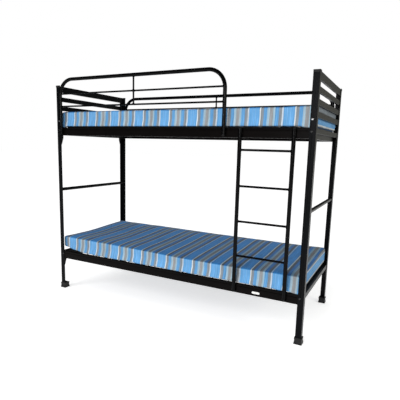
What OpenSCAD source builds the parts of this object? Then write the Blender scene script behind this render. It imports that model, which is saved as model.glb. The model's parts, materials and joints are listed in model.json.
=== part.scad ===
// Steel bunk bed with a fixed ladder, guard rails and two foam mattresses.
// The long side lies along X, the ladder side faces -Y, and the feet stand on Z = 0.
// The origin is under the middle of the whole object.

/* [Mattresses] */
// Length of a mattress
mattress_l = 1905; // [1500:5:2400]
// Width of a mattress
mattress_w = 760; // [600:5:1100]
// Thickness of a mattress at its edge
mattress_t = 105; // [80:1:160]
// Radius of a mattress's upright corners
mattress_corner_r = 35; // [10:1:60]
// Free space between a mattress and each end panel
mattress_end_gap = 19.5; // [10:0.5:40]
// Free space between a mattress and the rear guard
mattress_side_gap = 1; // [1:0.5:20]
// Shift of the mattresses towards the ladder side
mattress_shift = 5; // [0:1:10]
// Free height between a mattress and its deck
mattress_rest_gap = 0.4; // [0.2:0.1:1]

/* [Levels] */
// Height of the lower deck rails' top
lower_deck_z = 312; // [240:1:400]
// Rise from the lower deck rails to the upper deck rails
deck_rise = 989; // [800:1:1200]
// Height of the end panels above the upper deck rails
panel_h = 313; // [290:1:380]

/* [Posts] */
// Width of each leg of the angle-iron posts
post_leg = 38; // [35:0.2:50]
// Thickness of the angle iron
post_t = 3; // [2:0.5:5]
// Diameter of the spare hole near each post's top
spare_hole_d = 10; // [8:0.5:12]
// Height of the spare hole above the upper deck rails
spare_hole_rise = 197; // [100:1:250]

/* [Feet and caps] */
// Height of a foot shoe
foot_h = 42; // [34:1:60]
// Thickness of the shoe under the post's end
foot_sole = 8; // [4:1:15]
// Width of the shoe's waist beyond the post's legs, both sides together
foot_waist_extra = 7; // [5:1:12]
// Width that the shoe's base adds to its waist, both sides together
foot_flare = 5; // [2:0.5:8]
// Width that the shoe's rim adds to its waist, both sides together
foot_rim = 3; // [1:0.5:5]
// Height of the shoe's straight base
foot_base_h = 7; // [2:0.5:10]
// Height over which the shoe narrows from its base to its waist
foot_taper_h = 12; // [6:1:14]
// Height over which the shoe widens from its waist to its rim
foot_rim_slope = 3; // [1:1:5]
// Height of the shoe's straight rim
foot_rim_h = 8; // [4:1:10]
// Slack of the post's end in the shoe, on each face
foot_slack = 0.2; // [0.1:0.1:0.6]
// Thickness of a post cap
cap_t = 3; // [2:0.5:5]
// Depth of a post cap's outer lip
cap_lip = 12; // [6:1:20]
// Thickness of a post cap's outer lip
cap_wall = 1.5; // [1:0.5:3]

/* [Rails] */
// Height of the side rails and of the deck cross members
rail_h = 60; // [40:1:80]
// Depth of the side rails and of the deck cross members
rail_d = 25; // [20:1:40]
// Wall of the side rails and of the deck cross members
rail_wall = 2; // [1.5:0.5:3]
// Height of the end rails
end_rail_h = 30; // [20:1:38]
// Depth of the end rails
end_rail_d = 20; // [12:1:25]
// Space between an end rail and its deck cross member
cross_gap = 3; // [1:1:10]
// Height of the middle end bars above the floor
mid_bar_z = 817; // [500:1:1000]
// Diameter of the middle end bars
mid_bar_d = 25; // [12:1:30]
// Wall of the middle end bars
mid_bar_wall = 1.5; // [1:0.5:2.5]
// Drop of a corner gusset below its side rail
gusset_drop = 70; // [40:1:100]
// Height of a corner gusset's sloping edge
gusset_slope = 52; // [20:1:65]
// Reach of a corner gusset beyond the post's leg
gusset_reach = 18; // [8:1:30]
// Thickness of a corner gusset
gusset_t = 3; // [2:0.5:5]

/* [End panels] */
// Height of an end panel's top rail
top_rail_h = 46; // [30:1:60]
// Height of an end panel's slats
panel_slat_h = 34; // [20:1:45]
// Distance from one panel slat to the next
panel_slat_pitch = 69; // [55:1:80]
// Depth of an end panel's rail and slats
panel_d = 15; // [10:1:20]
// Wall of an end panel's rail and slats
panel_wall = 1.5; // [1:0.5:3]
// Width of an end panel's uprights
upright_w = 33; // [20:1:35]
// Thickness of an end panel's uprights
upright_t = 3; // [2:0.5:5]
// Space left below and above an end panel's uprights
upright_gap = 2; // [1:0.5:5]

/* [Decks] */
// Number of slats in a deck
deck_slats = 16; // [10:1:18]
// Width of a deck slat
deck_slat_w = 60; // [40:1:70]
// Height of a deck slat
deck_slat_h = 15; // [10:1:25]
// Sheet thickness of a deck slat
deck_slat_t = 1.5; // [1:0.5:3]
// Distance from the bed's end to the middle of the first slat
deck_slat_inset = 122; // [100:1:160]
// Distance from the bed's side to a slat's end
deck_slat_end = 18; // [4:1:20]

/* [Guards] */
// Diameter of the guard tubes
guard_d = 25; // [18:0.2:30]
// Wall of the guard tubes
guard_wall = 1.5; // [1:0.5:2.5]
// Bend radius at the corners of the guards, to the tube's middle
guard_bend_r = 117; // [60:1:140]
// Space between a guard's leg and its post
guard_post_gap = 0.5; // [0.5:0.5:10]
// Diameter of the guards' rods
rod_d = 12; // [8:0.5:16]
// Height of the front guard's top tube above the upper deck rails
front_guard_rise = 354; // [300:1:400]
// Overlap of the front guard's legs with the front rail
front_guard_lap = 49; // [20:1:55]
// Distance from the front guard's leg to the bed's ladder end
ladder_opening = 560; // [520:1:700]
// Drop from the front guard's top tube to its middle rod
front_mid_rod_drop = 105; // [60:1:120]
// Drop from the front guard's top tube to its low rod
front_low_rod_drop = 197; // [150:1:250]
// Height of the rear guard's top tube above the upper deck rails
rear_guard_rise = 299; // [260:1:360]
// Drop from the rear guard's top tube to its rod
rear_low_rod_drop = 94; // [60:1:130]

/* [Ladder] */
// Diameter of the ladder's stiles
stile_d = 25; // [20:0.5:32]
// Wall of the ladder's stiles
stile_wall = 1.5; // [1:0.5:2.5]
// Width between the middles of the stiles
ladder_w = 330; // [280:1:400]
// Distance from the ladder's middle to the bed's end
ladder_inset = 285; // [240:1:300]
// Diameter of a rung
rung_d = 14; // [10:0.5:25]
// Number of rungs
rungs = 4; // [3:1:6]
// Height of the lowest rung
rung_first_z = 502; // [400:1:560]
// Drop from the upper rails' top to the highest rung
rung_top_drop = 133; // [80:1:250]
// Drop of the stiles' ends below the rails' tops
stile_top_drop = 3; // [2:1:20]
// Drop of the stiles' feet below the lower rail's top
stile_foot_drop = 48; // [30:1:57]

/* [Fasteners and small parts] */
// Diameter of the bolts
bolt_d = 8; // [6:1:10]
// Slack round a bolt in its hole
bolt_slack = 1; // [0.5:0.5:2]
// Diameter of a bolt's dome head
bolt_head_d = 14; // [12:1:20]
// Height of a bolt's dome head
bolt_head_h = 4; // [3:0.1:6]
// Width across the flats of a nut
nut_w = 13; // [10:1:17]
// Height of a nut
nut_h = 6.5; // [5:0.5:8]
// Distance from the bed's end to the bolts
bolt_inset = 26; // [25:0.5:27]
// Drop of the rail bolts below the rails' tops
rail_bolt_drop = 20; // [15:1:40]
// Height of the panel bolts above the upper deck rails
panel_bolt_rise = 49; // [30:1:80]
// Length that a bolt reaches past its nut
bolt_tail = 3; // [1:1:8]
// Thickness of a tube plug's flange
plug_flange = 2; // [1:0.5:4]
// Depth of a tube plug's stem
plug_stem = 12; // [8:1:25]
// Length of the blank label on the lower front rail
label_l = 52; // [30:1:80]
// Height of the blank label
label_h = 15; // [10:1:30]
// Thickness of the blank label
label_t = 0.8; // [0.4:0.1:2]
// Height of the label above the rail's lower edge
label_rise = 14; // [5:1:25]
// Distance from the label's middle to the ladder's middle, towards the guard
label_offset = 18; // [0:1:60]

/* [Hidden] */
$fn = 48;
eps = 1;
fit_slack = 0.1;

bed_l = mattress_l + 2 * (mattress_end_gap + panel_d + post_t);
bed_w = mattress_w + 2 * (mattress_side_gap + guard_d + post_t);
upper_deck_z = lower_deck_z + deck_rise;
post_top = upper_deck_z + panel_h;
decks = [lower_deck_z, upper_deck_z];

// The ladder stands out furthest at the front, and the feet at the rear
foot_w = post_leg + foot_waist_extra;
foot_over = (foot_waist_extra + foot_flare) / 2;
front_reach = max(stile_d, guard_d) - post_t;
middle_y = (front_reach - foot_over) / 2;

guard_leg_x = post_leg + guard_post_gap + guard_d / 2;
front_guard_y = post_t - guard_d / 2;
front_guard_foot = upper_deck_z - front_guard_lap;
front_guard_top = upper_deck_z + front_guard_rise;
front_guard_span = bed_l - ladder_opening - guard_leg_x;
rear_guard_y = post_t + guard_d / 2;
rear_guard_top = upper_deck_z + rear_guard_rise;
rear_guard_span = bed_l - 2 * guard_leg_x;

stile_y = post_t - stile_d / 2;
stile_foot = lower_deck_z - stile_foot_drop;
stile_top = upper_deck_z - stile_top_drop;
rung_pitch = (upper_deck_z - rung_top_drop - rung_first_z) / (rungs - 1);

deck_slat_pitch = (bed_l - 2 * deck_slat_inset) / (deck_slats - 1);
cross_x = post_t + end_rail_d + cross_gap;
side_inner = post_t + rail_d;

steel = "#2c2e31";
rail_steel = "#2a2624";
plastic = "#141414";
zinc = "#c9ccd0";
ticking = "#4f96d6";
blank_white = "#f2f2f0";

// ---- places ----

// A corner's own frame: the post's outer corner is at its origin, and +X and +Y point
// into the bed. end is -1 for left and 1 for right; side is -1 for front and 1 for rear.
module corner(end, side) {
    translate([end * bed_l / 2, middle_y + side * bed_w / 2, 0])
        mirror([end > 0 ? 1 : 0, 0, 0])
            mirror([0, side > 0 ? 1 : 0, 0])
                children();
}

module each_corner() {
    for (end = [-1, 1], side = [-1, 1])
        corner(end, side) children();
}

// An end's own frame: X = 0 is the outer face, Y = 0 the front face of the posts
module bed_end(end) {
    corner(end, -1) children();
}

// A side's own frame: X = 0 is the left end, and +Y points into the bed
module bed_side(side) {
    corner(-1, side) children();
}

// ---- shared shapes ----

module box_tube(size, wall, along) {
    hollow = [for (i = [0:2]) i == along ? size[i] + 2 * eps : size[i] - 2 * wall];
    shift = [for (i = [0:2]) i == along ? -eps : wall];
    difference() {
        cube(size);
        translate(shift) cube(hollow);
    }
}

module rod_x(length, d) {
    rotate([0, 90, 0]) cylinder(d = d, h = length);
}

module rod_y(length, d) {
    rotate([-90, 0, 0]) cylinder(d = d, h = length);
}

// An upright U upside down, in the XZ plane, with its left foot at the origin
module hoop(span, rise, r, d) {
    leg = rise - r;
    cylinder(d = d, h = leg);
    translate([span, 0, 0]) cylinder(d = d, h = leg);
    translate([r, 0, rise]) rod_x(span - 2 * r, d);
    translate([span - r, 0, leg]) hoop_bend(r, d);
    translate([r, 0, leg]) mirror([1, 0, 0]) hoop_bend(r, d);
}

module hoop_bend(r, d) {
    rotate([90, 0, 0])
        rotate_extrude(angle = 90)
            translate([r, 0]) circle(d = d);
}

module hollow_hoop(span, rise) {
    bore = guard_d - 2 * guard_wall;
    difference() {
        hoop(span, rise, guard_bend_r, guard_d);
        hoop(span, rise, guard_bend_r, bore);
        translate([0, 0, -eps]) cylinder(d = bore, h = 2 * eps);
        translate([span, 0, -eps]) cylinder(d = bore, h = 2 * eps);
    }
}

module angle_section() {
    polygon([[0, 0], [post_leg, 0], [post_leg, post_t], [post_t, post_t], [post_t, post_leg], [0, post_leg]]);
}

module hex_nut() {
    difference() {
        rotate([-90, 0, 0]) rotate([0, 0, 30]) cylinder(d = nut_w / cos(30), h = nut_h, $fn = 6);
        translate([0, -eps, 0]) rod_y(nut_h + 2 * eps, bolt_d + 2 * fit_slack);
    }
}

// A dome-headed bolt along +Y, with the underside of its head at Y = 0
module dome_bolt(grip) {
    dome_r = (pow(bolt_head_d / 2, 2) + pow(bolt_head_h, 2)) / (2 * bolt_head_h);
    intersection() {
        translate([0, dome_r - bolt_head_h, 0]) sphere(r = dome_r);
        translate([0, -bolt_head_h, 0]) rod_y(bolt_head_h, bolt_head_d);
    }
    rod_y(grip + nut_h + bolt_tail, bolt_d);
}

// ---- posts, feet and caps ----

module post() {
    color(steel)
        difference() {
            translate([0, 0, foot_sole])
                linear_extrude(height = post_top - foot_sole) angle_section();
            for (z = decks)
                post_hole(z - rail_bolt_drop, bolt_d + bolt_slack);
            post_hole(upper_deck_z + panel_bolt_rise, bolt_d + bolt_slack);
            post_hole(upper_deck_z + spare_hole_rise, spare_hole_d);
        }
}

module post_hole(z, d) {
    translate([bolt_inset, -eps, z]) rod_y(post_t + 2 * eps, d);
}

// A square shoe with a rim, a waist and a flared base
module foot() {
    middle = post_leg / 2;
    color(plastic)
        difference() {
            translate([middle, middle, 0])
                intersection() {
                    foot_profile();
                    rotate([0, 0, 90]) foot_profile();
                }
            translate([0, 0, foot_sole])
                linear_extrude(height = foot_h) foot_pocket();
        }
}

module foot_profile() {
    waist = foot_w / 2;
    base = waist + foot_flare / 2;
    rim = waist + foot_rim / 2;
    rim_z = foot_h - foot_rim_h;
    outline = [[base, 0], [base, foot_base_h], [waist, foot_base_h + foot_taper_h],
               [waist, rim_z - foot_rim_slope], [rim, rim_z], [rim, foot_h]];
    mirrored = [for (i = [len(outline) - 1:-1:0]) [-outline[i][0], outline[i][1]]];
    rotate([90, 0, 0])
        linear_extrude(height = 2 * foot_w, center = true) polygon(concat(outline, mirrored));
}

module foot_pocket() {
    far = post_leg + foot_slack;
    inner = post_t + foot_slack;
    polygon([[-foot_slack, -foot_slack], [far, -foot_slack], [far, inner], [inner, inner],
             [inner, far], [-foot_slack, far]]);
}

// An L-shaped cap with a lip down the post's two outer faces
module post_cap() {
    color(plastic)
        translate([0, 0, post_top]) {
            translate([-cap_wall, -cap_wall, 0])
                linear_extrude(height = cap_t) cap_outline(post_leg + cap_wall, post_t + cap_wall);
            translate([-cap_wall, -cap_wall, -cap_lip])
                linear_extrude(height = cap_lip) cap_outline(post_leg + cap_wall, cap_wall);
        }
}

module cap_outline(reach, t) {
    polygon([[0, 0], [reach, 0], [reach, t], [t, t], [t, reach], [0, reach]]);
}

// ---- end frames ----

module panel_rail(z, h) {
    color(steel)
        translate([post_t, post_t + upright_t, z])
            box_tube([panel_d, bed_w - 2 * (post_t + upright_t), h], panel_wall, 1);
}

module top_rail() {
    panel_rail(post_top - top_rail_h, top_rail_h);
}

module panel_slat(i) {
    top = post_top - top_rail_h - i * panel_slat_pitch + panel_slat_h;
    panel_rail(top - panel_slat_h, panel_slat_h);
}

module panel_uprights(end) {
    z = upper_deck_z + upright_gap;
    for (side = [-1, 1])
        corner(end, side)
            color(steel)
                difference() {
                    translate([post_t, post_t, z])
                        cube([upright_w, upright_t, post_top - upright_gap - z]);
                    translate([bolt_inset, post_t - eps, upper_deck_z + panel_bolt_rise])
                        rod_y(upright_t + 2 * eps, bolt_d + bolt_slack);
                }
}

module mid_bar() {
    length = bed_w - 2 * post_t;
    color(steel)
        translate([post_t + mid_bar_d / 2, post_t, mid_bar_z])
            difference() {
                rod_y(length, mid_bar_d);
                translate([0, -eps, 0]) rod_y(length + 2 * eps, mid_bar_d - 2 * mid_bar_wall);
            }
}

module end_rail(deck_z) {
    color(steel)
        translate([post_t, side_inner, deck_z - end_rail_h])
            box_tube([end_rail_d, bed_w - 2 * side_inner, end_rail_h], rail_wall, 1);
}

// A plate against the inside of the post's outer leg, under the side rail and the end rail
module gusset(deck_z) {
    side_z = deck_z - rail_h;
    foot_z = side_z - gusset_drop;
    tip = post_leg + gusset_reach;
    color(steel)
        translate([post_t, 0, 0])
            rotate([90, 0, 90])
                linear_extrude(height = gusset_t)
                    polygon([[post_t, foot_z], [post_leg, foot_z],
                             [tip, foot_z + gusset_slope], [tip, deck_z - end_rail_h],
                             [side_inner, deck_z - end_rail_h], [side_inner, side_z], [post_t, side_z]]);
}

// ---- decks ----

module side_rail(deck_z) {
    color(rail_steel)
        difference() {
            translate([post_t, post_t, deck_z - rail_h])
                box_tube([bed_l - 2 * post_t, rail_d, rail_h], rail_wall, 0);
            for (x = [bolt_inset, bed_l - bolt_inset])
                translate([x, post_t - eps, deck_z - rail_bolt_drop])
                    rod_y(rail_wall + 2 * eps, bolt_d + bolt_slack);
        }
}

module cross_members(deck_z) {
    for (end = [-1, 1])
        bed_end(end)
            color(steel)
                translate([cross_x, side_inner, deck_z - rail_h])
                    box_tube([rail_d, bed_w - 2 * side_inner, rail_h], rail_wall, 1);
}

// Channels open below that rest on the side rails
module deck_slat_set(deck_z) {
    length = bed_w - 2 * deck_slat_end;
    for (i = [0:deck_slats - 1])
        bed_side(-1)
            translate([deck_slat_inset + i * deck_slat_pitch - deck_slat_w / 2, deck_slat_end, deck_z])
                color(steel)
                    difference() {
                        cube([deck_slat_w, length, deck_slat_h]);
                        translate([deck_slat_t, -eps, -eps])
                            cube([deck_slat_w - 2 * deck_slat_t, length + 2 * eps,
                                  deck_slat_h - deck_slat_t + eps]);
                    }
}

module mattress(deck_z) {
    x = post_t + panel_d + mattress_end_gap;
    y = post_t + guard_d + mattress_side_gap - mattress_shift;
    r = mattress_corner_r;
    color(ticking)
        bed_side(-1)
            translate([x, y, deck_z + deck_slat_h + mattress_rest_gap])
                linear_extrude(height = mattress_t)
                    union() {
                        translate([r, 0]) square([mattress_l - 2 * r, mattress_w]);
                        translate([0, r]) square([mattress_l, mattress_w - 2 * r]);
                        for (cx = [r, mattress_l - r], cy = [r, mattress_w - r])
                            translate([cx, cy]) circle(r = r);
                    }
}

// ---- guards ----

module at_front_guard() {
    bed_side(-1) translate([guard_leg_x, front_guard_y, 0]) children();
}

module at_rear_guard() {
    bed_side(1) translate([guard_leg_x, rear_guard_y, 0]) children();
}

module front_hoop_solid() {
    translate([0, 0, front_guard_foot])
        hoop(front_guard_span, front_guard_top - front_guard_foot, guard_bend_r, guard_d);
}

module rear_hoop_solid() {
    translate([0, 0, upper_deck_z])
        hoop(rear_guard_span, rear_guard_rise, guard_bend_r, guard_d);
}

module front_guard_tube() {
    at_front_guard()
        color(steel)
            translate([0, 0, front_guard_foot])
                hollow_hoop(front_guard_span, front_guard_top - front_guard_foot);
}

module rear_guard_tube() {
    at_rear_guard()
        color(steel)
            translate([0, 0, upper_deck_z])
                hollow_hoop(rear_guard_span, rear_guard_rise);
}

module front_guard_rod(drop) {
    at_front_guard()
        color(steel)
            difference() {
                translate([0, 0, front_guard_top - drop]) rod_x(front_guard_span, rod_d);
                front_hoop_solid();
            }
}

// Two stretches of rod, from the low rod to the middle rod and on to the top tube
module front_guard_spindle() {
    at_front_guard()
        color(steel)
            difference() {
                translate([front_guard_span / 2, 0, front_guard_top - front_low_rod_drop])
                    cylinder(d = rod_d, h = front_low_rod_drop);
                for (drop = [front_mid_rod_drop, front_low_rod_drop])
                    translate([0, 0, front_guard_top - drop]) rod_x(front_guard_span, rod_d);
                translate([guard_bend_r, 0, front_guard_top])
                    rod_x(front_guard_span - 2 * guard_bend_r, guard_d);
            }
}

module rear_guard_low_rod() {
    at_rear_guard()
        color(steel)
            difference() {
                translate([0, 0, rear_guard_top - rear_low_rod_drop]) rod_x(rear_guard_span, rod_d);
                rear_hoop_solid();
            }
}

module rear_guard_spindle() {
    at_rear_guard()
        color(steel)
            difference() {
                translate([rear_guard_span / 2, 0, rear_guard_top - rear_low_rod_drop])
                    cylinder(d = rod_d, h = rear_low_rod_drop);
                translate([0, 0, rear_guard_top - rear_low_rod_drop]) rod_x(rear_guard_span, rod_d);
                translate([guard_bend_r, 0, rear_guard_top])
                    rod_x(rear_guard_span - 2 * guard_bend_r, guard_d);
            }
}

// ---- ladder ----

module at_ladder(x) {
    bed_side(-1) translate([bed_l - ladder_inset + x, stile_y, 0]) children();
}

module stile(side) {
    at_ladder(side * ladder_w / 2)
        color(steel)
            translate([0, 0, stile_foot])
                difference() {
                    cylinder(d = stile_d, h = stile_top - stile_foot);
                    translate([0, 0, -eps])
                        cylinder(d = stile_d - 2 * stile_wall, h = stile_top - stile_foot + 2 * eps);
                }
}

module rung(i) {
    z = rung_first_z + i * rung_pitch;
    at_ladder(-ladder_w / 2)
        color(steel)
            difference() {
                translate([0, 0, z]) rod_x(ladder_w, rung_d);
                for (x = [0, ladder_w])
                    translate([x, 0, z - rung_d]) cylinder(d = stile_d, h = 2 * rung_d);
            }
}

// ---- fasteners and small parts ----

// A round plug whose flange hangs below Z = 0 and whose stem fills the tube above it
module tube_plug(d, wall) {
    color(plastic) {
        translate([0, 0, -plug_flange]) cylinder(d = d, h = plug_flange);
        cylinder(d = d - 2 * wall - 2 * fit_slack, h = plug_stem);
    }
}

module ladder_plugs() {
    for (x = [-ladder_w / 2, ladder_w / 2])
        at_ladder(x) {
            translate([0, 0, stile_foot]) tube_plug(stile_d, stile_wall);
            translate([0, 0, stile_top]) mirror([0, 0, 1]) tube_plug(stile_d, stile_wall);
        }
}

module guard_plugs() {
    for (x = [0, front_guard_span])
        at_front_guard()
            translate([x, 0, front_guard_foot]) tube_plug(guard_d, guard_wall);
}

module rail_bolts() {
    for (z = decks)
        each_corner()
            translate([bolt_inset, 0, z - rail_bolt_drop])
                color(steel) dome_bolt(post_t + rail_wall);
}

module rail_nuts() {
    for (z = decks)
        each_corner()
            translate([bolt_inset, post_t + rail_wall, z - rail_bolt_drop])
                color(zinc) hex_nut();
}

module panel_bolts() {
    each_corner()
        translate([bolt_inset, 0, upper_deck_z + panel_bolt_rise])
            color(zinc) dome_bolt(post_t + upright_t);
}

module panel_nuts() {
    each_corner()
        translate([bolt_inset, post_t + upright_t, upper_deck_z + panel_bolt_rise])
            color(zinc) hex_nut();
}

// A blank plate with round ends on the lower front rail, between the stiles
module label_plate() {
    r = label_h / 2;
    half = label_l / 2 - r;
    at_ladder(-label_offset)
        translate([0, -stile_y + post_t, lower_deck_z - rail_h + label_rise + r])
            rotate([90, 0, 0])
                color(blank_white)
                    linear_extrude(height = label_t) {
                        translate([-half, -r]) square([2 * half, label_h]);
                        for (x = [-half, half])
                            translate([x, 0]) circle(r = r);
                    }
}

corner(-1, -1) post();  // post_front_left
corner(1, -1) post();  // post_front_right
corner(-1, 1) post();  // post_rear_left
corner(1, 1) post();  // post_rear_right
corner(-1, -1) foot();  // foot_front_left
corner(1, -1) foot();  // foot_front_right
corner(-1, 1) foot();  // foot_rear_left
corner(1, 1) foot();  // foot_rear_right
each_corner() post_cap();  // post_caps
bed_end(-1) top_rail();  // left_top_rail
bed_end(-1) panel_slat(1);  // left_panel_slat_1
bed_end(-1) panel_slat(2);  // left_panel_slat_2
bed_end(-1) panel_slat(3);  // left_panel_slat_3
bed_end(1) top_rail();  // right_top_rail
bed_end(1) panel_slat(1);  // right_panel_slat_1
bed_end(1) panel_slat(2);  // right_panel_slat_2
bed_end(1) panel_slat(3);  // right_panel_slat_3
panel_uprights(-1);  // left_panel_uprights
panel_uprights(1);  // right_panel_uprights
bed_end(-1) mid_bar();  // left_mid_bar
bed_end(1) mid_bar();  // right_mid_bar
bed_end(-1) end_rail(upper_deck_z);  // left_upper_end_rail
bed_end(-1) end_rail(lower_deck_z);  // left_lower_end_rail
bed_end(1) end_rail(upper_deck_z);  // right_upper_end_rail
bed_end(1) end_rail(lower_deck_z);  // right_lower_end_rail
bed_side(-1) side_rail(upper_deck_z);  // upper_front_rail
bed_side(1) side_rail(upper_deck_z);  // upper_rear_rail
bed_side(-1) side_rail(lower_deck_z);  // lower_front_rail
bed_side(1) side_rail(lower_deck_z);  // lower_rear_rail
cross_members(upper_deck_z);  // upper_cross_members
cross_members(lower_deck_z);  // lower_cross_members
each_corner() gusset(upper_deck_z);  // upper_gussets
each_corner() gusset(lower_deck_z);  // lower_gussets
deck_slat_set(upper_deck_z);  // upper_deck_slats
deck_slat_set(lower_deck_z);  // lower_deck_slats
front_guard_tube();
front_guard_rod(front_mid_rod_drop);  // front_guard_mid_rod
front_guard_rod(front_low_rod_drop);  // front_guard_low_rod
front_guard_spindle();
rear_guard_tube();
rear_guard_low_rod();
rear_guard_spindle();
stile(-1);  // ladder_left_stile
stile(1);  // ladder_right_stile
rung(0);  // rung_1
rung(1);  // rung_2
rung(2);  // rung_3
rung(3);  // rung_4
ladder_plugs();
guard_plugs();
rail_bolts();
rail_nuts();
panel_bolts();
panel_nuts();
label_plate();
mattress(upper_deck_z);  // upper_mattress
mattress(lower_deck_z);  // lower_mattress
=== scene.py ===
import json
import math
import random

import bpy
from mathutils import Matrix, Vector, noise


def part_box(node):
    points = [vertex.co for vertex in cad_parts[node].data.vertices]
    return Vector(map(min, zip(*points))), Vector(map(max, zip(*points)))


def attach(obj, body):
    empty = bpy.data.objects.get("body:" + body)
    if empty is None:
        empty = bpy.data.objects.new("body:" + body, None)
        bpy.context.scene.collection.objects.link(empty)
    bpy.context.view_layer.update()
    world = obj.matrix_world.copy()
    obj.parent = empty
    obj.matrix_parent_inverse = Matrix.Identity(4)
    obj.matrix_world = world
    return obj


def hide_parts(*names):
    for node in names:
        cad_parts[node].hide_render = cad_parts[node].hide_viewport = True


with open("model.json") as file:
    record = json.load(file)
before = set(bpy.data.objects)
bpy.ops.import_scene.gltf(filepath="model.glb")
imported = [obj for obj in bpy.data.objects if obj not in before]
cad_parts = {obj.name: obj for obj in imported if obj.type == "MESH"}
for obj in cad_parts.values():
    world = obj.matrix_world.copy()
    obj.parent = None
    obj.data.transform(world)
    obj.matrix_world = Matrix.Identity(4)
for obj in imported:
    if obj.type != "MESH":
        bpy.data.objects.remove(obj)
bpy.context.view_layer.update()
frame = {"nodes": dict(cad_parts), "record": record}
nodes = frame["nodes"]
scene = bpy.context.scene
print("frame loaded,", len(nodes), "nodes")


def dropPicks():
    if bpy.context.object and bpy.context.object.mode != "OBJECT":
        bpy.ops.object.mode_set(mode="OBJECT")
    bpy.ops.object.select_all(action="DESELECT")


def pick(*pieces):
    dropPicks()
    for piece in pieces:
        piece.select_set(True)
    bpy.context.view_layer.objects.active = pieces[0]


def settle(piece):  # puts the place, turn and size into the mesh
    pick(piece)
    bpy.ops.object.transform_apply(location=True, rotation=True, scale=True)


def pickEdges(piece, wanted):  # leaves the piece in edit mode with those edges selected
    pick(piece)
    bpy.ops.object.mode_set(mode="EDIT")
    bpy.ops.mesh.select_mode(type="EDGE")
    bpy.ops.mesh.select_all(action="DESELECT")
    bpy.ops.object.mode_set(mode="OBJECT")
    points = piece.data.vertices
    for edge in piece.data.edges:
        a, b = (points[i].co for i in edge.vertices)
        edge.select = wanted(a, b)
    bpy.ops.object.mode_set(mode="EDIT")


def closeUp(piece):  # merges doubles and turns the faces outwards
    pick(piece)
    bpy.ops.object.mode_set(mode="EDIT")
    bpy.ops.mesh.select_all(action="SELECT")
    bpy.ops.mesh.remove_doubles(threshold=0.00002)
    bpy.ops.mesh.normals_make_consistent(inside=False)
    bpy.ops.object.mode_set(mode="OBJECT")


def paintOn(piece, material):
    piece.data.materials.clear()
    piece.data.materials.append(material)


viewPoint = {
    "place": (1.4540, -2.7497, 1.18045),
    "yaw": 27.42, "pitch": 9.26, "roll": 1.47,
    "lens": 36.23, "shiftX": 0.0143, "shiftY": 0.0307,
}


def setCamera(spot):
    turn = (Matrix.Rotation(math.radians(spot["yaw"]), 3, "Z")
            @ Matrix.Rotation(math.radians(90 - spot["pitch"]), 3, "X")
            @ Matrix.Rotation(math.radians(spot["roll"]), 3, "Z"))
    bpy.ops.object.camera_add(location=spot["place"], rotation=turn.to_euler())
    camera = bpy.context.object
    camera.name = "studioCamera"
    camera.data.sensor_width = 36
    camera.data.lens = spot["lens"]
    camera.data.shift_x = spot["shiftX"]
    camera.data.shift_y = spot["shiftY"]
    scene.camera = camera


studio = {
    "worldLight": 0.46,   # what falls on the bed from all round
    "worldSeen": 1.0,     # what the camera sees behind it
    "worldGloss": 0.035,  # what the paint mirrors, as with dark flags round the set
    "sun": {"power": 1.45, "from": (-1.6, -4.2, 2.5), "softness": 34},
    "boxes": [
        {"name": "boxFront", "place": (0.9, -5.2, 1.9), "aim": (0.0, 0.0, 0.95), "size": 1.0, "power": 70,
         "tint": (1.0, 1.0, 1.0)},
        {"name": "boxEnd", "place": (4.6, -1.2, 2.2), "aim": (0.8, 0.0, 0.9), "size": 1.4, "power": 50,
         "tint": (1.0, 0.99, 0.90)},
        {"name": "boxRear", "place": (2.9, 4.4, 1.4), "aim": (0.9, 0.2, 1.0), "size": 2.4, "power": 10,
         "tint": (1.0, 1.0, 0.86)},
    ],
    "floor": {"size": 80, "tone": (0.93, 0.93, 0.935), "glow": 0.52, "rough": 0.7, "gloss": 0.2},
}


def lightStudio(plan):
    world = bpy.data.worlds.new("studioWorld")
    scene.world = world
    world.use_nodes = True
    tree = world.node_tree
    back = tree.nodes["Background"]
    back.inputs["Color"].default_value = (1, 1, 1, 1)
    path = tree.nodes.new("ShaderNodeLightPath")
    gloss = tree.nodes.new("ShaderNodeMapRange")
    gloss.inputs["To Min"].default_value = plan["worldLight"]
    gloss.inputs["To Max"].default_value = plan["worldGloss"]
    tree.links.new(path.outputs["Is Glossy Ray"], gloss.inputs["Value"])
    level = tree.nodes.new("ShaderNodeMapRange")
    level.inputs["To Max"].default_value = plan["worldSeen"]
    tree.links.new(gloss.outputs["Result"], level.inputs["To Min"])
    tree.links.new(path.outputs["Is Camera Ray"], level.inputs["Value"])
    tree.links.new(level.outputs["Result"], back.inputs["Strength"])

    sun = plan["sun"]
    bpy.ops.object.light_add(type="SUN", location=sun["from"])
    lamp = bpy.context.object
    lamp.name = "keySun"
    lamp.rotation_euler = Vector(sun["from"]).to_track_quat("Z", "Y").to_euler()
    lamp.data.energy = sun["power"]
    lamp.data.angle = math.radians(sun["softness"])
    lamp.visible_glossy = False

    for box in plan["boxes"]:
        bpy.ops.object.light_add(type="AREA", location=box["place"])
        lamp = bpy.context.object
        lamp.name = box["name"]
        lamp.rotation_euler = (Vector(box["place"]) - Vector(box["aim"])).to_track_quat("Z", "Y").to_euler()
        lamp.data.energy = box["power"]
        lamp.data.size = box["size"]
        lamp.data.color = box["tint"]
        lamp.visible_camera = False


def layFloor(plan):
    bpy.ops.mesh.primitive_plane_add(size=plan["size"])
    floor = bpy.context.object
    floor.name = "studioFloor"
    material = bpy.data.materials.new("paleFloor")
    material.use_nodes = True
    shader = material.node_tree.nodes["Principled BSDF"]
    shader.inputs["Base Color"].default_value = (*plan["tone"], 1)
    shader.inputs["Roughness"].default_value = plan["rough"]
    shader.inputs["Specular IOR Level"].default_value = plan["gloss"]
    shader.inputs["Emission Color"].default_value = (1, 1, 1, 1)
    shader.inputs["Emission Strength"].default_value = plan["glow"]
    paintOn(floor, material)
    floor.visible_diffuse = False


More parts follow.
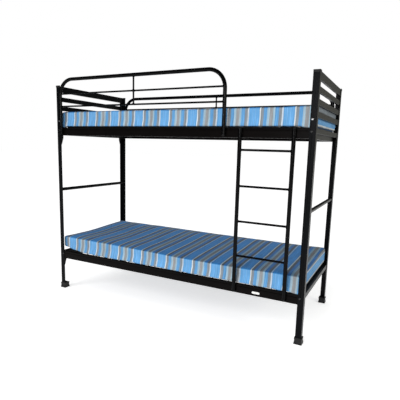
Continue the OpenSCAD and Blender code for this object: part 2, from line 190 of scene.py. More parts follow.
dropPicks()
scene.view_settings.view_transform = "Standard"
setCamera(viewPoint)
lightStudio(studio)
layFloor(studio["floor"])
print("studio set")


def newGroup(name, inputs, outputs):
    group = bpy.data.node_groups.new(name, "ShaderNodeTree")
    for label, value in inputs:
        socket = group.interface.new_socket(label, in_out="INPUT", socket_type="NodeSocketFloat")
        socket.default_value = value
    for label, kind in outputs:
        group.interface.new_socket(label, in_out="OUTPUT", socket_type=kind)
    return group, group.nodes.new("NodeGroupInput"), group.nodes.new("NodeGroupOutput")


def addNode(tree, kind, links=None, **settings):
    node = tree.nodes.new(kind)
    for name, value in settings.items():
        setattr(node, name, value)
    for socket, source in (links or {}).items():
        if isinstance(source, bpy.types.NodeSocket):
            tree.links.new(source, node.inputs[socket])
        else:
            node.inputs[socket].default_value = source
    return node


def math2(tree, operation, a, b=0.0, clamp=False):
    return addNode(tree, "ShaderNodeMath", {0: a, 1: b}, operation=operation, use_clamp=clamp).outputs[0]


def remap(tree, value, fromMin, fromMax, toMin=0.0, toMax=1.0):
    sockets = {"Value": value, "From Min": fromMin, "From Max": fromMax, "To Min": toMin, "To Max": toMax}
    return addNode(tree, "ShaderNodeMapRange", sockets).outputs["Result"]


def cloud(tree, place, scale, detail, rough=0.5):
    sockets = {"Vector": place, "Scale": scale, "Detail": detail, "Roughness": rough}
    return addNode(tree, "ShaderNodeTexNoise", sockets).outputs["Fac"]


def emboss(tree, shader, height, strength, distance):
    sockets = {"Height": height, "Strength": strength, "Distance": distance}
    bump = addNode(tree, "ShaderNodeBump", sockets)
    tree.links.new(bump.outputs["Normal"], shader.inputs["Normal"])


def buildCoatSkin():  # the fine orange peel and slow waves of a sprayed coat
    group, given, out = newGroup(
        "coatSkin", [("Grain", 900.0), ("Wave", 14.0)],
        [("Height", "NodeSocketFloat"), ("Drift", "NodeSocketFloat"), ("Speckle", "NodeSocketFloat")])
    place = addNode(group, "ShaderNodeTexCoord").outputs["Object"]
    peel = cloud(group, place, given.outputs["Grain"], 2.0)
    wave = cloud(group, place, given.outputs["Wave"], 4.0, 0.55)
    fleck = cloud(group, place, 260.0, 5.0, 0.7)
    both = math2(group, "ADD", math2(group, "MULTIPLY", peel, 0.7), math2(group, "MULTIPLY", wave, 0.3))
    group.links.new(both, out.inputs["Height"])
    group.links.new(wave, out.inputs["Drift"])
    group.links.new(fleck, out.inputs["Speckle"])
    return group


def buildEdgeRub():  # where hands and shoes have polished the coat off an edge
    group, given, out = newGroup("edgeRub", [("Width", 0.0016), ("Amount", 0.5)],
                                 [("Mask", "NodeSocketFloat")])
    soft = addNode(group, "ShaderNodeBevel", {"Radius": given.outputs["Width"]}, samples=4)
    hard = addNode(group, "ShaderNodeNewGeometry").outputs["Normal"]
    both = {0: soft.outputs["Normal"], 1: hard}
    dot = addNode(group, "ShaderNodeVectorMath", both, operation="DOT_PRODUCT")
    bend = math2(group, "SUBTRACT", 1.0, dot.outputs["Value"])
    place = addNode(group, "ShaderNodeTexCoord").outputs["Object"]
    patchy = remap(group, cloud(group, place, 38.0, 6.0, 0.65), 0.5, 0.68)
    edge = math2(group, "MULTIPLY", bend, 9.0, clamp=True)
    worn = math2(group, "MULTIPLY", edge, patchy)
    mask = math2(group, "MULTIPLY", worn, given.outputs["Amount"], clamp=True)
    group.links.new(mask, out.inputs["Mask"])
    return group


def buildRestingDust():  # a thin film on faces that look up
    group, given, out = newGroup("restingDust", [("Amount", 0.3)], [("Mask", "NodeSocketFloat")])
    normal = addNode(group, "ShaderNodeNewGeometry").outputs["Normal"]
    upward = addNode(group, "ShaderNodeSeparateXYZ", {0: normal}).outputs["Z"]
    facing = remap(group, upward, 0.35, 1.0)
    place = addNode(group, "ShaderNodeTexCoord").outputs["Object"]
    patchy = remap(group, cloud(group, place, 22.0, 7.0, 0.7), 0.35, 0.75)
    film = math2(group, "MULTIPLY", facing, patchy)
    mask = math2(group, "MULTIPLY", film, given.outputs["Amount"], clamp=True)
    group.links.new(mask, out.inputs["Mask"])
    return group


coatSkin = buildCoatSkin()
edgeRub = buildEdgeRub()
restingDust = buildRestingDust()


def useGroup(tree, group, **values):
    node = tree.nodes.new("ShaderNodeGroup")
    node.node_tree = group
    for name, value in values.items():
        node.inputs[name].default_value = value
    return node


def mixColour(tree, share, a, b, blend="MIX"):
    node = tree.nodes.new("ShaderNodeMix")
    node.data_type = "RGBA"
    node.blend_type = blend
    for socket, source in ((0, share), (6, a), (7, b)):
        if isinstance(source, bpy.types.NodeSocket):
            tree.links.new(source, node.inputs[socket])
        elif socket == 0:
            node.inputs[socket].default_value = source
        else:
            node.inputs[socket].default_value = (*source, 1)
    return node.outputs[2]


def newMaterial(name):
    material = bpy.data.materials.new(name)
    material.use_nodes = True
    tree = material.node_tree
    return material, tree, tree.nodes["Principled BSDF"]


paints = {  # base tone, second tone that drifts in, roughness, gloss, strength of the peel, dust, rub
    "frame": {"tone": (0.0022, 0.0024, 0.0032), "drift": (0.0040, 0.0044, 0.0054), "rough": 0.30,
              "gloss": 0.06, "peel": 0.10, "dust": 0.03, "rub": 0.10},
    "rail": {"tone": (0.0016, 0.0013, 0.0013), "drift": (0.0042, 0.0030, 0.0028), "rough": 0.30,
             "gloss": 0.05, "peel": 0.10, "dust": 0.03, "rub": 0.10},
    "tube": {"tone": (0.0009, 0.0009, 0.0011), "drift": (0.0018, 0.0018, 0.0020), "rough": 0.17,
             "gloss": 0.08, "peel": 0.06, "dust": 0.015, "rub": 0.0},
    "deck": {"tone": (0.0012, 0.0012, 0.0014), "drift": (0.0024, 0.0024, 0.0026), "rough": 0.36,
             "gloss": 0.10, "peel": 0.12, "dust": 0.06, "rub": 0.0},
}
wear = {"rubbed": (0.16, 0.165, 0.17), "dusty": (0.19, 0.185, 0.175)}


def mixPaint(name, plan):
    material, tree, shader = newMaterial(name)
    skin = useGroup(tree, coatSkin)
    dust = useGroup(tree, restingDust, Amount=plan["dust"])
    tone = mixColour(tree, skin.outputs["Drift"], plan["tone"], plan["drift"])
    if plan["rub"]:
        rub = useGroup(tree, edgeRub, Amount=plan["rub"])
        tone = mixColour(tree, rub.outputs["Mask"], tone, wear["rubbed"])
    tone = mixColour(tree, dust.outputs["Mask"], tone, wear["dusty"])
    tree.links.new(tone, shader.inputs["Base Color"])
    rough = remap(tree, skin.outputs["Speckle"], 0.3, 0.7, plan["rough"] - 0.04, plan["rough"] + 0.07)
    dull = math2(tree, "ADD", rough, math2(tree, "MULTIPLY", dust.outputs["Mask"], 0.5))
    tree.links.new(dull, shader.inputs["Roughness"])
    emboss(tree, shader, skin.outputs["Height"], plan["peel"], 0.0006)
    shader.inputs["Specular IOR Level"].default_value = plan["gloss"]
    return material


plastic = {  # feet, caps and tube plugs
    "tone": (0.006, 0.006, 0.0065), "drift": (0.011, 0.011, 0.0115), "dusty": (0.10, 0.098, 0.094),
    "grain": 1700.0, "wave": 30.0, "dust": 0.25, "rough": (0.5, 0.66), "gloss": 0.3,
}


def mixPlastic(plan):
    material, tree, shader = newMaterial("mouldedPlastic")
    skin = useGroup(tree, coatSkin, Grain=plan["grain"], Wave=plan["wave"])
    dust = useGroup(tree, restingDust, Amount=plan["dust"])
    tone = mixColour(tree, skin.outputs["Drift"], plan["tone"], plan["drift"])
    tone = mixColour(tree, dust.outputs["Mask"], tone, plan["dusty"])
    tree.links.new(tone, shader.inputs["Base Color"])
    rough = remap(tree, skin.outputs["Speckle"], 0.3, 0.7, *plan["rough"])
    tree.links.new(rough, shader.inputs["Roughness"])
    emboss(tree, shader, skin.outputs["Height"], 0.25, 0.0008)
    shader.inputs["Specular IOR Level"].default_value = plan["gloss"]
    return material


bolts = {
    "boltBlack": {"tone": (0.012, 0.012, 0.013), "drift": (0.03, 0.03, 0.032), "metal": 0.3, "rough": 0.36},
    "zincPlate": {"tone": (0.62, 0.63, 0.65), "drift": (0.74, 0.75, 0.78), "metal": 1.0, "rough": 0.3},
}


def mixMetal(name, plan):
    material, tree, shader = newMaterial(name)
    skin = useGroup(tree, coatSkin, Grain=1200.0, Wave=60.0)
    colour = mixColour(tree, skin.outputs["Drift"], plan["tone"], plan["drift"])
    tree.links.new(colour, shader.inputs["Base Color"])
    rough = remap(tree, skin.outputs["Speckle"], 0.3, 0.7, plan["rough"] - 0.08, plan["rough"] + 0.1)
    tree.links.new(rough, shader.inputs["Roughness"])
    emboss(tree, shader, skin.outputs["Height"], 0.12, 0.0004)
    shader.inputs["Metallic"].default_value = plan["metal"]
    return material


def mixLabel():
    material, tree, shader = newMaterial("blankLabel")
    skin = useGroup(tree, coatSkin, Grain=700.0, Wave=50.0)
    tone = mixColour(tree, skin.outputs["Drift"], (0.90, 0.90, 0.88), (0.80, 0.80, 0.78))
    tree.links.new(tone, shader.inputs["Base Color"])
    rough = remap(tree, skin.outputs["Speckle"], 0.0, 1.0, 0.35, 0.55)
    tree.links.new(rough, shader.inputs["Roughness"])
    return material


framePaint = mixPaint("framePaint", paints["frame"])
railPaint = mixPaint("railPaint", paints["rail"])
tubePaint = mixPaint("tubePaint", paints["tube"])
deckPaint = mixPaint("deckPaint", paints["deck"])
mouldedPlastic = mixPlastic(plastic)
boltBlack = mixMetal("boltBlack", bolts["boltBlack"])
zincPlate = mixMetal("zincPlate", bolts["zincPlate"])
blankLabel = mixLabel()

finishOf = {
    "frame_paint": framePaint, "rail_paint": railPaint, "tube_paint": tubePaint, "deck_paint": deckPaint,
    "black_plastic": mouldedPlastic, "bolt_black": boltBlack, "zinc": zincPlate, "label_white": blankLabel,
}
slotOf = {part["node"]: part["material_slot"] for part in frame["record"]["subparts"]}


softEdges = {  # edge radius by slot, for the parts that are cut or folded
    "frame_paint": 0.0009, "rail_paint": 0.0016, "deck_paint": 0.0006,
    "black_plastic": 0.0009, "label_white": 0.0003,
}
roundParts = ("mid_bar", "plugs")


def dressFrame():
    for name, piece in nodes.items():
        slot = slotOf[name]
        if slot not in finishOf:
            continue
        for place in piece.material_slots:
            place.material = finishOf[slot]
        if slot in softEdges and not name.endswith(roundParts):
            weld = piece.modifiers.new("weld", "WELD")
            weld.merge_threshold = 0.00003
            bevel = piece.modifiers.new("softEdge", "BEVEL")
            bevel.width = softEdges[slot]
            bevel.segments = 2
            bevel.limit_method = "ANGLE"
            bevel.angle_limit = math.radians(34)
            bevel.use_clamp_overlap = True


dressFrame()
print("frame painted")


ticking = {
    "period": 0.2115,     # one repeat of the stripes along the bed
    "start": 0.645,       # a cream line lies here
    "stripes": [          # start in mm from the cream line, and tone
        (0.0, "cream"), (7.0, "tan"), (9.0, "grey"), (24.0, "blue"), (46.0, "mist"), (60.5, "tan"),
        (62.0, "warm"), (82.0, "pale"), (94.0, "blue"), (117.0, "grey"), (133.5, "tan"), (135.0, "white"),
        (145.0, "edge"), (150.0, "wide"), (167.0, "light"), (168.6, "wide"), (185.0, "light"),
        (186.6, "wide"), (207.0, "edge"),
    ],
    # painted light: the sides get lighter copies of the same stripe tones, as lit from the front
    "litSideTones": {
        "cream": (0.64, 0.69, 0.71), "tan": (0.30, 0.26, 0.22), "grey": (0.225, 0.26, 0.295),
        "blue": (0.120, 0.325, 0.61), "mist": (0.34, 0.48, 0.58), "warm": (0.30, 0.315, 0.33),
        "pale": (0.33, 0.47, 0.56), "white": (0.50, 0.59, 0.68), "edge": (0.110, 0.32, 0.61),
        "wide": (0.140, 0.375, 0.70), "light": (0.25, 0.49, 0.78),
    },
    "shadedTopTones": {         # painted shade: the top gets darker, deeper copies of the side tones, for the shade it lies in
        "cream": (0.30, 0.39, 0.43), "tan": (0.11, 0.095, 0.085), "grey": (0.055, 0.080, 0.112),
        "blue": (0.023, 0.122, 0.34), "mist": (0.12, 0.235, 0.35), "warm": (0.112, 0.128, 0.145),
        "pale": (0.16, 0.26, 0.34), "white": (0.17, 0.30, 0.46), "edge": (0.018, 0.125, 0.36),
        "wide": (0.022, 0.167, 0.44), "light": (0.045, 0.22, 0.48),
    },
    "wander": 0.0008,     # how far a stripe strays from straight
    "rim": 0.008,         # the sides start this far below the top
    "endStretch": 1.1,    # the pattern runs this much faster down the two ends
    "endShift": 0.010,    # and starts this far on
}


def buildTickingWeave():  # warp streaks and a small twill, from the cloth's own lengths
    group, given, out = newGroup("tickingWeave", [("Pitch", 0.0011)],
                                 [("Height", "NodeSocketFloat"), ("Streak", "NodeSocketFloat")])
    cloth = addNode(group, "ShaderNodeUVMap", uv_map="ticking").outputs["UV"]
    apart = addNode(group, "ShaderNodeSeparateXYZ", {0: cloth})
    turns = math2(group, "DIVIDE", 2 * math.pi, given.outputs["Pitch"])
    warp = math2(group, "SINE", math2(group, "MULTIPLY", apart.outputs["X"], turns))
    weft = math2(group, "SINE", math2(group, "MULTIPLY", apart.outputs["Y"], turns))
    aslant = math2(group, "ADD", apart.outputs["X"], apart.outputs["Y"])
    twill = math2(group, "SINE", math2(group, "MULTIPLY", aslant, math2(group, "MULTIPLY", turns, 0.5)))
    height = math2(group, "ADD", math2(group, "MULTIPLY", warp, weft), math2(group, "MULTIPLY", twill, 0.6))
    group.links.new(height, out.inputs["Height"])
    drawn = addNode(group, "ShaderNodeMapping", {"Vector": cloth, "Scale": (150.0, 5.0, 1.0)})
    group.links.new(cloud(group, drawn.outputs["Vector"], 1.0, 5.0, 0.75), out.inputs["Streak"])
    return group


tickingWeave = buildTickingWeave()


def stripeRamp(tree, plan, tones, repeat):
    ramp = tree.nodes.new("ShaderNodeValToRGB")
    ramp.color_ramp.interpolation = "CONSTANT"
    stops = ramp.color_ramp.elements
    for i, (offset, tone) in enumerate(plan["stripes"]):
        stop = stops[i] if i < 2 else stops.new(1.0)
        stop.position = offset / 1000 / plan["period"]
        stop.color = (*plan[tones][tone], 1)
    tree.links.new(repeat, ramp.inputs["Fac"])
    return ramp.outputs["Color"]


def mixTicking(plan):
    material, tree, shader = newMaterial("stripedTicking")
    cloth = addNode(tree, "ShaderNodeUVMap", uv_map="ticking").outputs["UV"]
    along = addNode(tree, "ShaderNodeSeparateXYZ", {0: cloth}).outputs["X"]
    place = addNode(tree, "ShaderNodeTexCoord").outputs["Object"]
    shift = remap(tree, cloud(tree, place, 7.0, 2.0), 0.0, 1.0, -plan["wander"], plan["wander"])
    drawn = math2(tree, "SUBTRACT", math2(tree, "ADD", along, shift), plan["start"])
    repeat = math2(tree, "FRACT", math2(tree, "DIVIDE", drawn, plan["period"]))
    litSideColour = stripeRamp(tree, plan, "litSideTones", repeat)
    shadedTopColour = stripeRamp(tree, plan, "shadedTopTones", repeat)

    weave = useGroup(tree, tickingWeave)
    thread = remap(tree, weave.outputs["Streak"], 0.34, 0.66, 0.72, 1.26)
    # painted light and shade: the side attribute mixes the lit side tones with the painted-shade top tones
    side = addNode(tree, "ShaderNodeAttribute", attribute_name="side").outputs["Fac"]
    tone = mixColour(tree, side, shadedTopColour, litSideColour)
    streaked = mixColour(tree, 1.0, tone, thread, "MULTIPLY")
    haze = remap(tree, cloud(tree, place, 5.0, 6.0, 0.6), 0.3, 0.7, 0.93, 1.05)
    final = mixColour(tree, 1.0, streaked, haze, "MULTIPLY")
    tree.links.new(final, shader.inputs["Base Color"])
    rough = remap(tree, weave.outputs["Height"], -1.6, 1.6, 0.92, 0.78)
    tree.links.new(rough, shader.inputs["Roughness"])
    emboss(tree, shader, weave.outputs["Height"], 0.35, 0.00025)
    shader.inputs["Specular IOR Level"].default_value = 0.15
    shader.inputs["Sheen Weight"].default_value = 0.08
    shader.inputs["Sheen Roughness"].default_value = 0.5
    return material


stripedTicking = mixTicking(ticking)

mattressCut = {
    "shrink": 0.005,      # the foam starts this much inside its finished size
    "corner": 0.012,      # radius of the upright corners
    "rim": 0.011,         # radius of the top and bottom edges
    "grain": 0.0125,      # voxel size
    "pressure": 4.0,
    "frames": 20,
    "mass": 0.35,
    "stretch": 18,
    "bend": 0.6,
    "cap": 0.0065,        # how far a point may swell
    "more": Vector((0.0, 0.002, 0.0)),
    "wrinkle": 0.0016,
    "frontDepth": 0.30,   # the lift of the front edge fades out over this depth
    "behind": 0.35,       # the share of it that is left at the rear
    "footDepth": (0.004, 0.050),     # the lift of the lower front edge fades between these
    "rearDepth": (0.20, 0.02),       # the rise starts this far from the front, ends this far from the rear
    "rideAlong": (0.915, 0.965),     # where the right end starts to ride up, and is fully up
    "rideDepth": (0.03, 0.11),       # the same, back from the front edge
    "turn": (0.010, 0.046),          # the lower front edge hangs fully up to here, and not past here
    "rimDepth": 0.03,
    "sag": 0.045,         # the ends sag over this length
    "slatHalf": 0.030,    # half a slat's width
    "dip": 0.0018,        # how far the foam sinks between slats
    "dipFade": 0.025,
    "clear": 0.0003,      # left between the cloth and the deck
}

lowerRest = {  # how this mattress lies: along the bed, lift of its front edge at top and bottom
    "along": (-0.95, -0.85, -0.75, -0.59, -0.215, 0.12, 0.57, 0.767, 0.91, 0.95),
    "top": (0.0050, 0.0030, 0.0026, 0.0022, -0.0040, -0.0125, -0.0125, -0.0080, -0.0050, -0.0040),
    "foot": (0.0110, 0.0020, 0.0, 0.0, 0.0, 0.0, 0.0, 0.0, 0.0, 0.0),
    "skirt": (0.0, 0.5, 1.0, 1.0, 1.0, 1.0, 1.0, 1.0, 1.0, 0.9),
    "hang": Vector((0.0, -0.0165, -0.0190)),   # how far the front edge turns over the slats' ends
    "tails": (0.0, 0.010),                     # how far the two ends sag past the last slats
    "rear": 0.019,                             # rise of the top towards the rear
    "ride": 0.0,                               # how far the right end rides up behind its front edge
    "ends": (-0.974, 0.968),
    "slip": 0.007,                             # moves the stripes along the bed
    "seed": 11,
}
upperRest = {
    "along": (-0.95, -0.5, 0.0, 0.5, 0.80, 0.945, 0.962),
    "top": (0.0060, 0.0075, 0.0070, 0.0080, 0.0090, 0.0120, 0.0260),
    "foot": (0.0, 0.0, 0.0, 0.0, 0.0, 0.0, 0.0),
    "skirt": (1.0, 1.0, 1.0, 1.0, 1.0, 1.0, 1.0),
    "hang": Vector((0.0, -0.0115, -0.0180)),
    "tails": (0.010, 0.012),
    "rear": 0.004,
    "ride": 0.021,
    "ends": (-0.966, 0.971),
    "slip": -0.003,
    "seed": 23,
}


def between(x, marks, values):
    if x <= marks[0]:
        return values[0]
    for a, b, low, high in zip(marks, marks[1:], values, values[1:]):
        if x <= b:
            t = (x - a) / (b - a)
            t = t * t * (3 - 2 * t)
            return low + (high - low) * t
    return values[-1]


def ease(x, low, high):
    t = min(1.0, max(0.0, (x - low) / (high - low)))
    return t * t * (3 - 2 * t)


def cutFoam(name, low, high, cut):
    size = high - low - Vector((1, 1, 1)) * 2 * cut["shrink"]
    size.z = high.z - low.z - cut["shrink"]
    centre = (low + high) / 2
    bpy.ops.mesh.primitive_cube_add(size=1, location=(centre.x, centre.y, low.z + size.z / 2))
    piece = bpy.context.object
    piece.name = name
    piece.scale = size
    settle(piece)
    upright = size.z * 0.5
    pickEdges(piece, lambda a, b: abs(a.z - b.z) > upright)
    bpy.ops.mesh.bevel(offset=cut["corner"], segments=6, affect="EDGES")
    bpy.ops.object.mode_set(mode="OBJECT")
    pickEdges(piece, lambda a, b: abs(a.z - b.z) < 0.001)
    bpy.ops.mesh.bevel(offset=cut["rim"], segments=4, affect="EDGES")
    bpy.ops.object.mode_set(mode="OBJECT")
    pick(piece)
    piece.data.remesh_voxel_size = cut["grain"]
    bpy.ops.object.voxel_remesh()
    return piece


def slatStarts(node):  # where each slat of a deck begins along the bed
    marks = sorted({round(v.co.x, 4) for v in nodes[node].data.vertices})
    return [m for i, m in enumerate(marks) if i == 0 or m - marks[i - 1] > 0.02]


def swell(piece, cut):  # the cover is pressed out from inside, as by its foam
    before = [point.co.copy() for point in piece.data.vertices]
    pick(piece)
    bpy.ops.object.modifier_add(type="CLOTH")
    cloth = piece.modifiers[-1]
    cloth.settings.quality = 4
    cloth.settings.mass = cut["mass"]
    cloth.settings.tension_stiffness = cut["stretch"]
    cloth.settings.compression_stiffness = cut["stretch"]
    cloth.settings.bending_stiffness = cut["bend"]
    cloth.settings.use_pressure = True
    cloth.settings.uniform_pressure_force = cut["pressure"]
    cloth.settings.effector_weights.gravity = 0
    cloth.point_cache.frame_end = cut["frames"]
    for step in range(1, cut["frames"] + 1):
        scene.frame_set(step)
    pick(piece)
    bpy.ops.object.modifier_apply(modifier=cloth.name)
    scene.frame_set(1)
    for point, start in zip(piece.data.vertices, before):
        move = point.co - start
        if move.length > 0:
            point.co = start + move.normalized() * cut["cap"] * math.tanh(move.length / cut["cap"])


def fillOut(piece, low, high):  # brings the swollen shape back to its full length, width and height
    spots = [point.co for point in piece.data.vertices]
    for axis in range(3):
        first = min(spot[axis] for spot in spots)
        last = max(spot[axis] for spot in spots)
        scale = (high[axis] - low[axis]) / (last - first)
        for spot in spots:
            spot[axis] = low[axis] + (spot[axis] - first) * scale


def layDown(piece, low, high, cut, rest, slats):
    random.seed(rest["seed"])
    drift = Vector((random.uniform(-9, 9), random.uniform(-9, 9), random.uniform(-9, 9)))
    tall = high.z - low.z
    for point in piece.data.vertices:
        p = point.co
        up = min(1.0, max(0.0, (p.z - low.z) / tall))
        front = 1 - ease(p.y, low.y, low.y + cut["frontDepth"])
        edge = 1 - ease(p.y, low.y + cut["footDepth"][0], low.y + cut["footDepth"][1])
        crease = noise.noise(Vector((p.x * 21, p.y * 7, p.z * 13)) + drift)
        fold = noise.noise(Vector((p.x * 5.5, p.y * 4, p.z * 9)) - drift)
        rim = max(1 - abs(p.z - high.z) / cut["rimDepth"], 1 - abs(p.z - low.z) / cut["rimDepth"], 0)
        top = between(p.x, rest["along"], rest["top"]) * (cut["behind"] + (1 - cut["behind"]) * front)
        top += rest["rear"] * ease(p.y, low.y + cut["rearDepth"][0], high.y - cut["rearDepth"][1])
        back = ease(p.y, low.y + cut["rideDepth"][0], low.y + cut["rideDepth"][1])
        top += rest["ride"] * ease(p.x, *cut["rideAlong"]) * back
        foot = between(p.x, rest["along"], rest["foot"]) * edge
        lift = top * up + foot * (1 - up)
        away = Vector((0.0, -1.0 if p.y < (low.y + high.y) / 2 else 1.0, 0.0))
        turn = 1 - ease(math.hypot(max(0, p.y - low.y) * 1.1, p.z - low.z), *cut["turn"])
        turn *= between(p.x, rest["along"], rest["skirt"])
        p = p + Vector((0, 0, lift)) + rest["hang"] * turn
        p += away * cut["wrinkle"] * (crease * (0.4 + rim) + fold * 0.8)
        p.z += cut["wrinkle"] * (fold * 0.9 + crease * 0.5) * (1 if up > 0.5 else 0)
        beyond = ease(abs(p.x), slats["reach"], slats["reach"] + cut["sag"])
        p.z -= rest["tails"][p.x > 0] * beyond * (1 - up)
        nearest = min(abs(p.x - s) for s in slats["middles"])
        dip = cut["dip"] * ease(nearest, cut["slatHalf"], cut["slatHalf"] + cut["dipFade"])
        onSlats = p.y > slats["front"] and abs(p.x) < slats["reach"] + 0.002
        floor = slats["top"] - dip if onSlats else slats["rail"]
        p.z = max(p.z, floor + cut["clear"])
        point.co = p


def drawTicking(piece, high, slip, plan):
    mesh = piece.data
    mesh.uv_layers.new(name="ticking")
    # the side attribute holds the share of painted light: lit side tones against painted-shade top tones
    mesh.attributes.new("side", "FLOAT", "CORNER")
    rimZ = high.z - plan["rim"]
    lengths = [0.0] * (2 * len(mesh.loops))
    sides = [0.0] * len(mesh.loops)
    for face in mesh.polygons:
        n = face.normal
        ended = abs(n.x) > abs(n.y) * 1.05 and abs(n.z) < 0.8
        for corner in face.loop_indices:
            p = mesh.vertices[mesh.loops[corner].vertex_index].co
            drop = max(0.0, rimZ - p.z)
            s, t = p.x + slip, p.y
            if ended or (abs(n.z) > 0.8 and n.z > 0):
                s += math.copysign(drop * plan["endStretch"] + plan["endShift"], p.x) if ended else 0
            else:
                t += math.copysign(drop, p.y)
            lengths[2 * corner:2 * corner + 2] = (s, t)
            # upright cloth takes the lit side tones, flat cloth the painted-shade top tones
            flat = mesh.vertices[mesh.loops[corner].vertex_index].normal.z
            sides[corner] = 1 - ease(abs(flat), 0.35, 0.85)
    mesh.uv_layers["ticking"].data.foreach_set("uv", lengths)
    mesh.attributes["side"].data.foreach_set("value", sides)


def makeMattress(name, node, rest):
    low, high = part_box(node)
    deck = node.split("_")[0] + "_deck_slats"
    deckLow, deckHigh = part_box(deck)
    middles = [start + mattressCut["slatHalf"] for start in slatStarts(deck)]
    slats = {"top": deckHigh.z, "rail": deckLow.z, "front": deckLow.y, "reach": deckHigh.x,
             "middles": [m for m in middles if m < deckHigh.x]}
    piece = cutFoam(name, low, high, mattressCut)
    swell(piece, mattressCut)
    outLow, outHigh = low - mattressCut["more"], high + mattressCut["more"]
    outLow.x, outHigh.x = rest["ends"]
    fillOut(piece, outLow, outHigh)
    layDown(piece, low, high, mattressCut, rest, slats)
    pick(piece)
    smooth = piece.modifiers.new("fine", "SUBSURF")
    smooth.levels = smooth.render_levels = 1
    bpy.ops.object.modifier_apply(modifier=smooth.name)
    bpy.ops.object.shade_smooth()
    drawTicking(piece, high, rest["slip"], ticking)
    paintOn(piece, stripedTicking)
    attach(piece, "root")
    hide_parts(node)
    print(name, "made,", len(piece.data.polygons), "faces")


makeMattress("lowerMattress", "lower_mattress", lowerRest)
makeMattress("upperMattress", "upper_mattress", upperRest)


welds = {
    "size": 0.0021,       # radius of the bead
    "ripple": 0.16,       # share of it that the ripples take
    "pitch": 0.0034,      # length of one ripple
    "stand": 0.0006,      # a straight bead's middle stands this far off its face
    "pair": 0.0052,       # two beads lie this far to each side of a tube's middle
    "stileLength": 0.046, "stileRise": 0.031,    # rise from the rail's lower edge
    "legLength": 0.038, "legDrop": 0.024,        # drop from the rail's upper edge
    "panelLength": 0.028,
    "crossLength": 0.052, "crossDepth": 0.025,   # depth of a cross member
    "tackLength": 0.010, "tackInset": 0.0055,
}


def rippleAt(place, turn):
    wave = math.sin(turn) * 0.7 + noise.noise(place * 160) * 0.9
    return 1 + welds["ripple"] * wave


def makeRing(radius, tube):  # a bead round a rod along X that ends on an upright tube (0: on a flat face)
    size = welds["size"]
    bpy.ops.mesh.primitive_torus_add(major_radius=radius + size * 0.35, minor_radius=size,
                                     major_segments=30, minor_segments=8, rotation=(0, math.pi / 2, 0))
    bead = bpy.context.object
    settle(bead)
    count = round(2 * math.pi * radius / welds["pitch"])
    for point in bead.data.vertices:
        angle = math.atan2(point.co.z, point.co.y)
        spine = Vector((0, math.cos(angle), math.sin(angle))) * (radius + size * 0.35)
        point.co = spine + (point.co - spine) * rippleAt(point.co, angle * count)
        if tube:
            point.co.x += math.sqrt(max(0.0, tube ** 2 - point.co.y ** 2)) - tube
    return bead


def makeLine(length):  # a straight bead along Z, middle at the origin
    size = welds["size"]
    bpy.ops.mesh.primitive_cylinder_add(radius=size, depth=length - size, vertices=10)
    bead = bpy.context.object
    pickEdges(bead, lambda a, b: abs(a.z - b.z) > size)
    bpy.ops.mesh.subdivide(number_cuts=max(3, round(length / 0.002)))
    bpy.ops.object.mode_set(mode="OBJECT")
    pick(bead)
    bpy.ops.object.mode_set(mode="EDIT")
    bpy.ops.mesh.select_mode(type="FACE")
    bpy.ops.mesh.select_all(action="DESELECT")
    bpy.ops.object.mode_set(mode="OBJECT")
    for face in bead.data.polygons:
        face.select = abs(face.normal.z) > 0.9
    bpy.ops.object.mode_set(mode="EDIT")
    bpy.ops.mesh.inset(thickness=size * 0.45, depth=size * 0.4)
    bpy.ops.object.mode_set(mode="OBJECT")
    for point in bead.data.vertices:
        scale = rippleAt(point.co, point.co.z / welds["pitch"] * 2 * math.pi)
        point.co.x *= scale
        point.co.y *= scale
    return bead


def placeBeads(name, jobs, material):  # copies of each bead at each place, joined as one piece
    copies = []
    for bead, places in jobs:
        for where, turn in places:
            twin = bead.copy()
            twin.data = bead.data.copy()
            scene.collection.objects.link(twin)
            twin.data.transform(Matrix.Translation(where) @ turn.to_4x4())
            copies.append(twin)
    pick(*copies)
    bpy.ops.object.join()
    piece = bpy.context.object
    piece.name = name
    closeUp(piece)
    bpy.ops.object.shade_smooth()
    paintOn(piece, material)
    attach(piece, "root")
    for bead, places in jobs:
        bpy.data.objects.remove(bead)
    print(name, "made,", len(piece.data.polygons), "faces")


straight = Matrix.Identity(3)
about = Matrix.Rotation(math.pi, 3, "Z")
upward = Matrix.Rotation(-math.pi / 2, 3, "Y")
downward = Matrix.Rotation(math.pi / 2, 3, "Y")
inward = Matrix.Rotation(math.pi / 2, 3, "Z")
outward = Matrix.Rotation(-math.pi / 2, 3, "Z")
flat = Matrix.Rotation(math.pi / 2, 3, "X")


def middle(node):  # a node's middle, and half its size
    low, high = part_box(node)
    return (low + high) / 2, (high - low) / 2


def weldLadder():
    rungPlaces = []
    sides = [middle("ladder_left_stile"), middle("ladder_right_stile")]
    tube = sides[0][1].x
    for k in range(1, 5):
        centre = middle("rung_%d" % k)[0]
        rungPlaces.append((Vector((sides[0][0].x + tube, centre.y, centre.z)), straight))
        rungPlaces.append((Vector((sides[1][0].x - tube, centre.y, centre.z)), about))
    linePlaces = []
    for rail in ("upper_front_rail", "lower_front_rail"):
        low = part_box(rail)[0]
        for stile, size in sides:
            for shift in (-welds["pair"], welds["pair"]):
                place = Vector((stile.x + shift, low.y - welds["stand"], low.z + welds["stileRise"]))
                linePlaces.append((place, straight))
    ring = makeRing(middle("rung_1")[1].z, tube)
    line = makeLine(welds["stileLength"])
    placeBeads("ladderWelds", [(ring, rungPlaces), (line, linePlaces)], tubePaint)


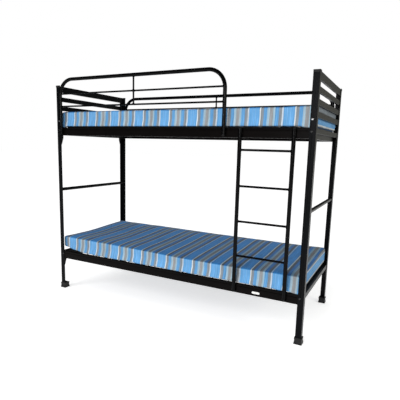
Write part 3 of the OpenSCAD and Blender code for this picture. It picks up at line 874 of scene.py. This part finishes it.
def weldGuards():
    ends, stems, bases, lines = [], [], [], []
    for side, rods in (("front", ("low_rod", "mid_rod")), ("rear", ("low_rod",))):
        frameLow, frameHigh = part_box(side + "_guard_tube")
        tube = (frameHigh.y - frameLow.y) / 2
        for rod in rods:
            centre = middle(side + "_guard_" + rod)[0]
            ends.append((Vector((frameLow.x + 2 * tube, centre.y, centre.z)), straight))
            ends.append((Vector((frameHigh.x - 2 * tube, centre.y, centre.z)), about))
        centre = middle(side + "_guard_spindle")[0]
        legs = (frameLow.x + tube, frameHigh.x - tube)
        stems.append((Vector((centre.x, centre.y, frameHigh.z - 2 * tube)), downward))
        for rod in rods:
            line, thick = middle(side + "_guard_" + rod)
            stems.append((Vector((centre.x, centre.y, line.z + thick.z)), upward))
            if rod == "mid_rod":
                stems.append((Vector((centre.x, centre.y, line.z - thick.z)), downward))
        if side == "front":
            railLow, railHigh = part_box("upper_front_rail")
            for x in legs:
                for shift in (-welds["pair"], welds["pair"]):
                    place = Vector((x + shift, railLow.y - welds["stand"], railHigh.z - welds["legDrop"]))
                    lines.append((place, straight))
        else:
            bases = [(Vector((x, centre.y, frameLow.z)), upward) for x in legs]
    rodR = middle("front_guard_mid_rod")[1].z
    jobs = [(makeRing(rodR, tube), ends), (makeRing(rodR, 0), stems), (makeRing(tube, 0), bases),
            (makeLine(welds["legLength"]), lines)]
    placeBeads("guardWelds", jobs, tubePaint)


def weldFrame():
    places, longPlaces, barPlaces = [], [], []
    for end, sign in (("left", 1), ("right", -1)):
        rails = [end + "_top_rail"] + [end + "_panel_slat_%d" % k for k in (1, 2, 3)]
        for rail in rails:
            low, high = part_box(rail)
            inner = high.x if sign > 0 else low.x
            for y in (low.y, high.y):
                places.append((Vector((inner, y, (low.z + high.z) / 2)), straight))
        low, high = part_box(end + "_mid_bar")
        for y, turn in ((low.y, inward), (high.y, outward)):
            barPlaces.append((Vector(((low.x + high.x) / 2, y, (low.z + high.z) / 2)), turn))
        for deck in ("upper", "lower"):
            crossLow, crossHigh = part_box(deck + "_cross_members")
            x = crossLow.x + welds["crossDepth"] if sign > 0 else crossHigh.x - welds["crossDepth"]
            for y in (crossLow.y, crossHigh.y):
                longPlaces.append((Vector((x, y, (crossLow.z + crossHigh.z) / 2)), straight))
    barR = middle("left_mid_bar")[1].x
    jobs = [(makeLine(welds["panelLength"]), places), (makeLine(welds["crossLength"]), longPlaces),
            (makeRing(barR, 0), barPlaces)]
    placeBeads("frameWelds", jobs, framePaint)


def tackDecks():
    places = []
    for deck in ("upper_deck_slats", "lower_deck_slats"):
        low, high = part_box(deck)
        for x in slatStarts(deck):
            for y in (low.y + welds["tackInset"], high.y - welds["tackInset"]):
                places.append((Vector((x, y, low.z + welds["stand"])), flat))
    placeBeads("deckTacks", [(makeLine(welds["tackLength"]), places)], deckPaint)


weldLadder()
weldGuards()
weldFrame()
tackDecks()
